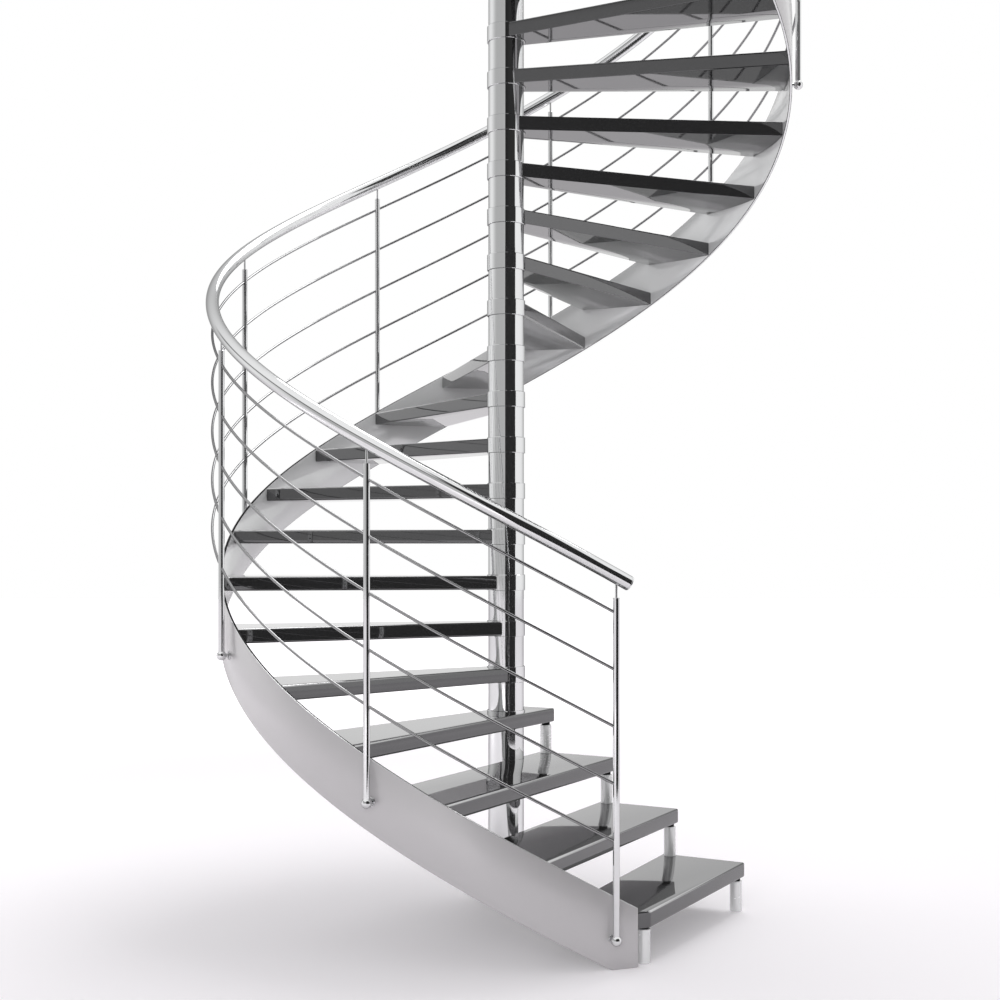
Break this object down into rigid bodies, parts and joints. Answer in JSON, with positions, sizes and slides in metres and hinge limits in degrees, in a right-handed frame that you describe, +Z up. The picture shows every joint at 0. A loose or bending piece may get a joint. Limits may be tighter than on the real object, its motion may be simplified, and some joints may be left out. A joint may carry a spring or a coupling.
{
  "type": "spiral staircase",
  "caption": "Spiral staircase with a polished column, glossy wedge treads, an outer helical stringer and a barred railing with a round handrail, climbing clockwise.",
  "frame": {"origin": "on the floor at the column's axis, on the base plate's underside and in the middle of its bolt circle", "axes": "+Z up along the column; +Y away from the viewer of the picture, so the lowest tread is at the front, towards -Y and +X"},
  "size_m": [2.3297, 2.33, 4.8369],
  "materials": {
    "tread_gloss": "high gloss, dark grey",
    "polished_steel": "mirror polished",
    "satin_steel": "satin"
  },
  "bodies": {
    "root": {"tread_01": "tread_gloss", "tread_02": "tread_gloss", "tread_03": "tread_gloss", "tread_04": "tread_gloss", "tread_05": "tread_gloss", "tread_06": "tread_gloss", "tread_07": "tread_gloss", "tread_08": "tread_gloss", "tread_09": "tread_gloss", "tread_10": "tread_gloss", "tread_11": "tread_gloss", "tread_12": "tread_gloss", "tread_13": "tread_gloss", "tread_14": "tread_gloss", "tread_15": "tread_gloss", "tread_16": "tread_gloss", "tread_17": "tread_gloss", "tread_18": "tread_gloss", "tread_19": "tread_gloss", "tread_20": "tread_gloss", "column_tube": "polished_steel", "tread_collars": "polished_steel", "column_cap": "polished_steel", "floor_feet": "polished_steel", "tread_legs": "polished_steel", "railing_posts": "polished_steel", "handrail_1": "polished_steel", "handrail_2": "polished_steel", "handrail_3": "polished_steel", "handrail_4": "polished_steel", "railing_bars_1": "polished_steel", "railing_bars_2": "polished_steel", "stringer_1": "satin_steel", "stringer_2": "satin_steel", "stringer_3": "satin_steel", "stringer_4": "satin_steel", "base_plate": "satin_steel"}
  },
  "joints": []
}
